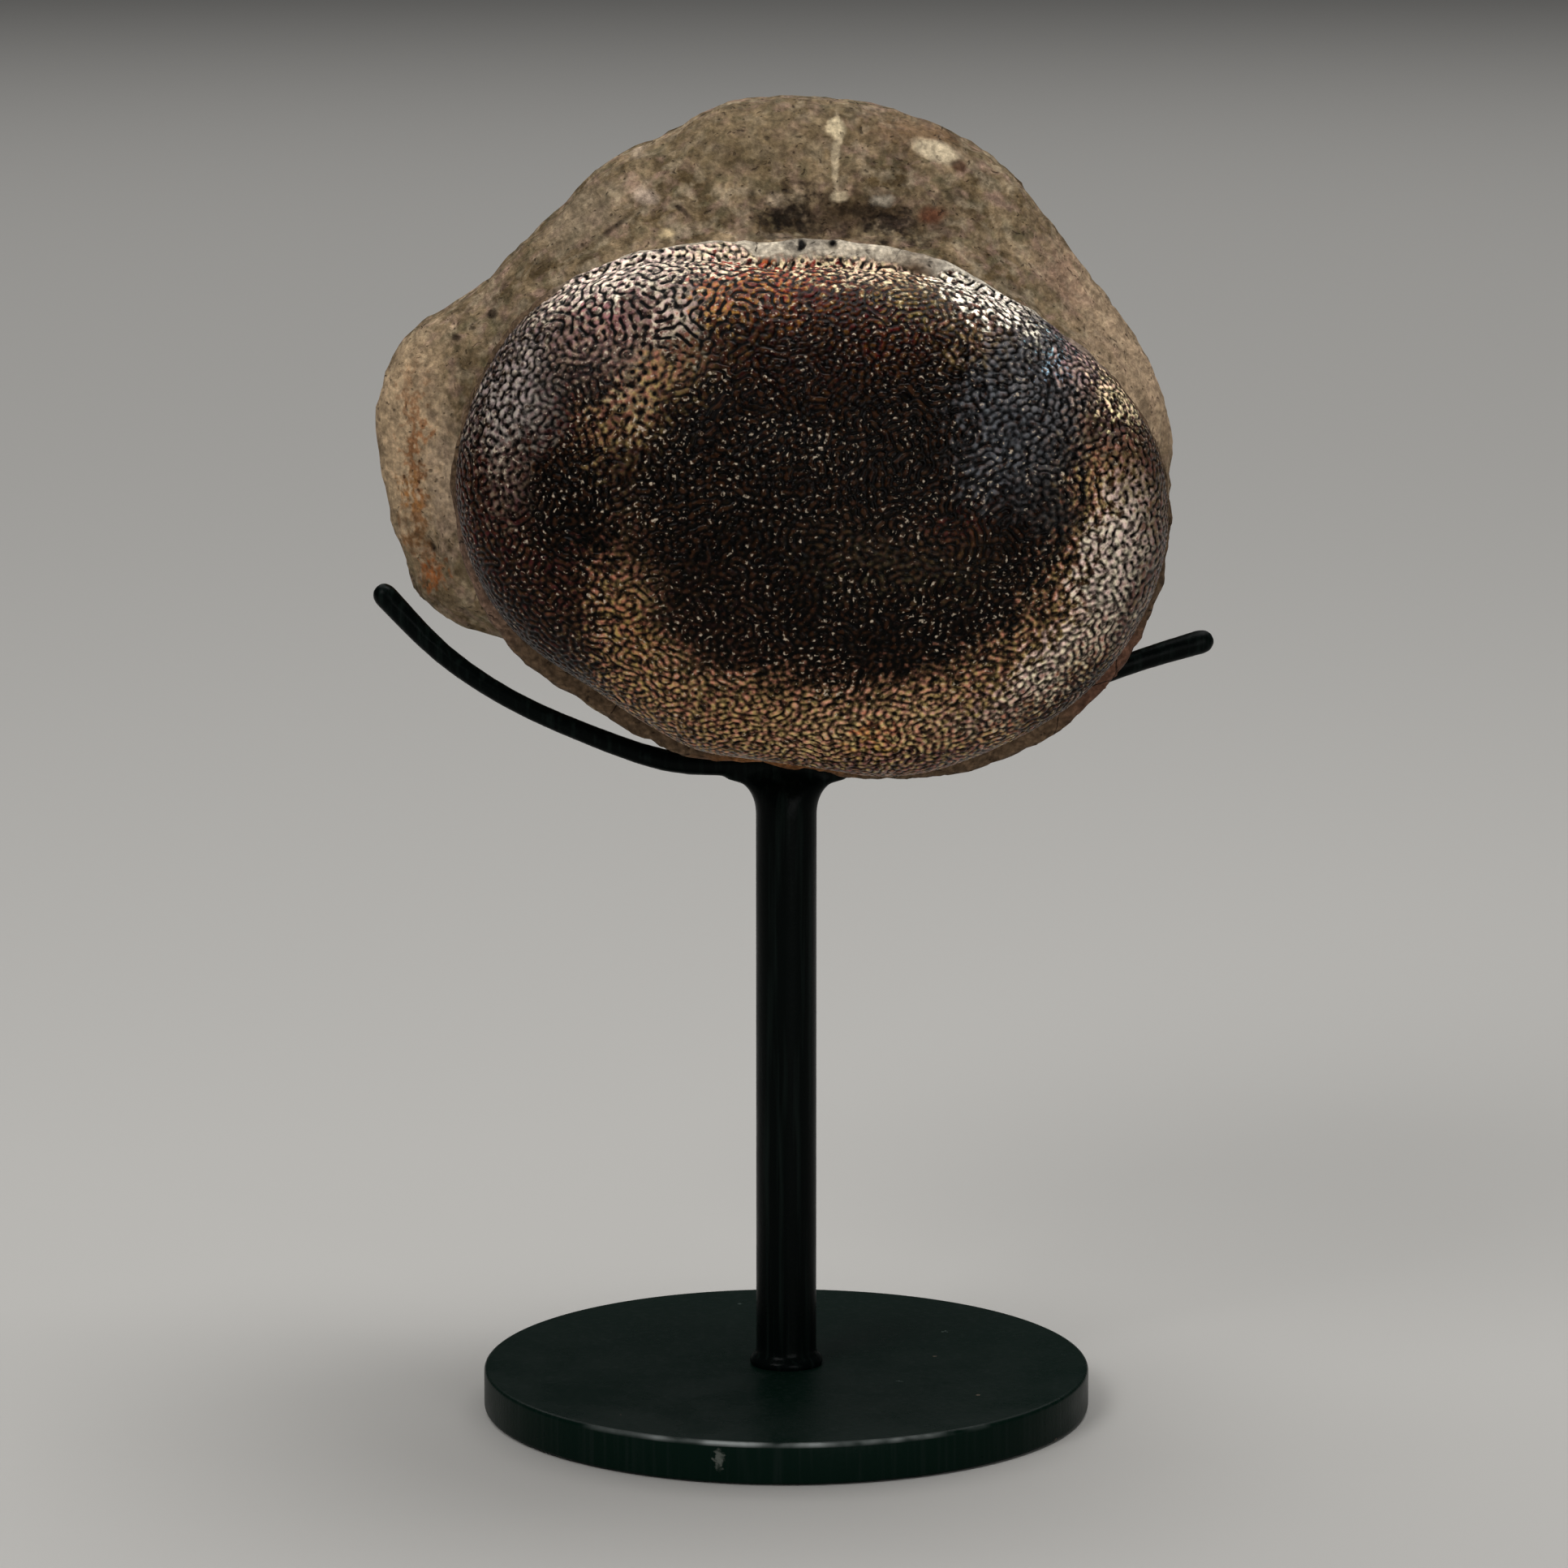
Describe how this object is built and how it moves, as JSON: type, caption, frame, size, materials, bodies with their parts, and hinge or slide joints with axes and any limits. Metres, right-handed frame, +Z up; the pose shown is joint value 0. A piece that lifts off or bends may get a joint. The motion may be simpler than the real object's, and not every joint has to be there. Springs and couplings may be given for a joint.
{
  "type": "fossil mosasaur vertebra on a display stand",
  "caption": "Fossil vertebra with a domed, net-textured joint face, lying across the bent rod cradle of a black steel stand with a round base.",
  "frame": {"origin": "centre of the base disc's underside", "axes": "+Z up along the post, -Y towards the viewer and the vertebra's convex joint face, +X to the viewer's right"},
  "size_m": [0.111, 0.0837, 0.171],
  "materials": {
    "fossil_bone": "satin",
    "black_paint": "satin"
  },
  "bodies": {
    "root": {"vertebra": "fossil_bone", "base_disc": "black_paint", "post": "black_paint", "cradle": "black_paint"}
  },
  "joints": []
}
